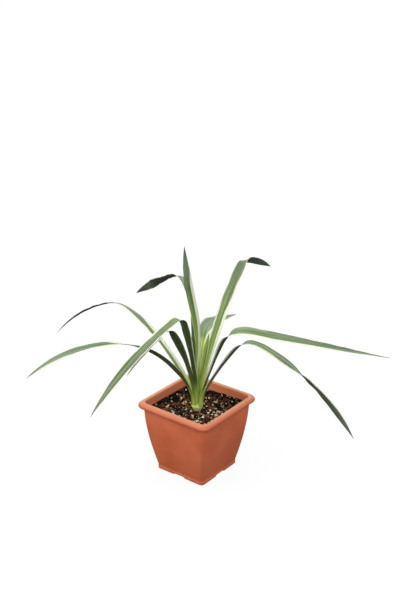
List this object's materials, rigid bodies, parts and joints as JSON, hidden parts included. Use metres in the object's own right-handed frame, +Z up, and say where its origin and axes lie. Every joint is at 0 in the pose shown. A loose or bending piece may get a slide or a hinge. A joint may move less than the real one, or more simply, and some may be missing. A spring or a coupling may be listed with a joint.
{
  "type": "potted yucca plant",
  "caption": "Young potted yucca: a rosette of long arching variegated leaves on a short stem, in a square tapered terracotta-coloured plastic pot with a round rim, filled with potting soil.",
  "frame": {"origin": "middle of the pot's base, on the ground", "axes": "X and Y along the pot's sides, +X being the direction of the longest spread of the leaves, +Z up"},
  "size_m": [0.5766, 0.5355, 0.4041],
  "materials": {
    "terracotta_plastic": "satin",
    "potting_soil": "matte",
    "stem_skin": "satin",
    "leaf_blade": "satin"
  },
  "bodies": {
    "root": {"pot": "terracotta_plastic", "soil": "potting_soil", "stem": "stem_skin", "leaf_heart": "leaf_blade", "leaf_upright": "leaf_blade", "leaf_front_tall": "leaf_blade", "leaf_back_tall": "leaf_blade", "leaf_front_short": "leaf_blade", "leaf_right_tall": "leaf_blade", "leaf_left": "leaf_blade", "leaf_back": "leaf_blade", "leaf_right": "leaf_blade", "leaf_back_left": "leaf_blade", "leaf_front_right": "leaf_blade"}
  },
  "joints": []
}
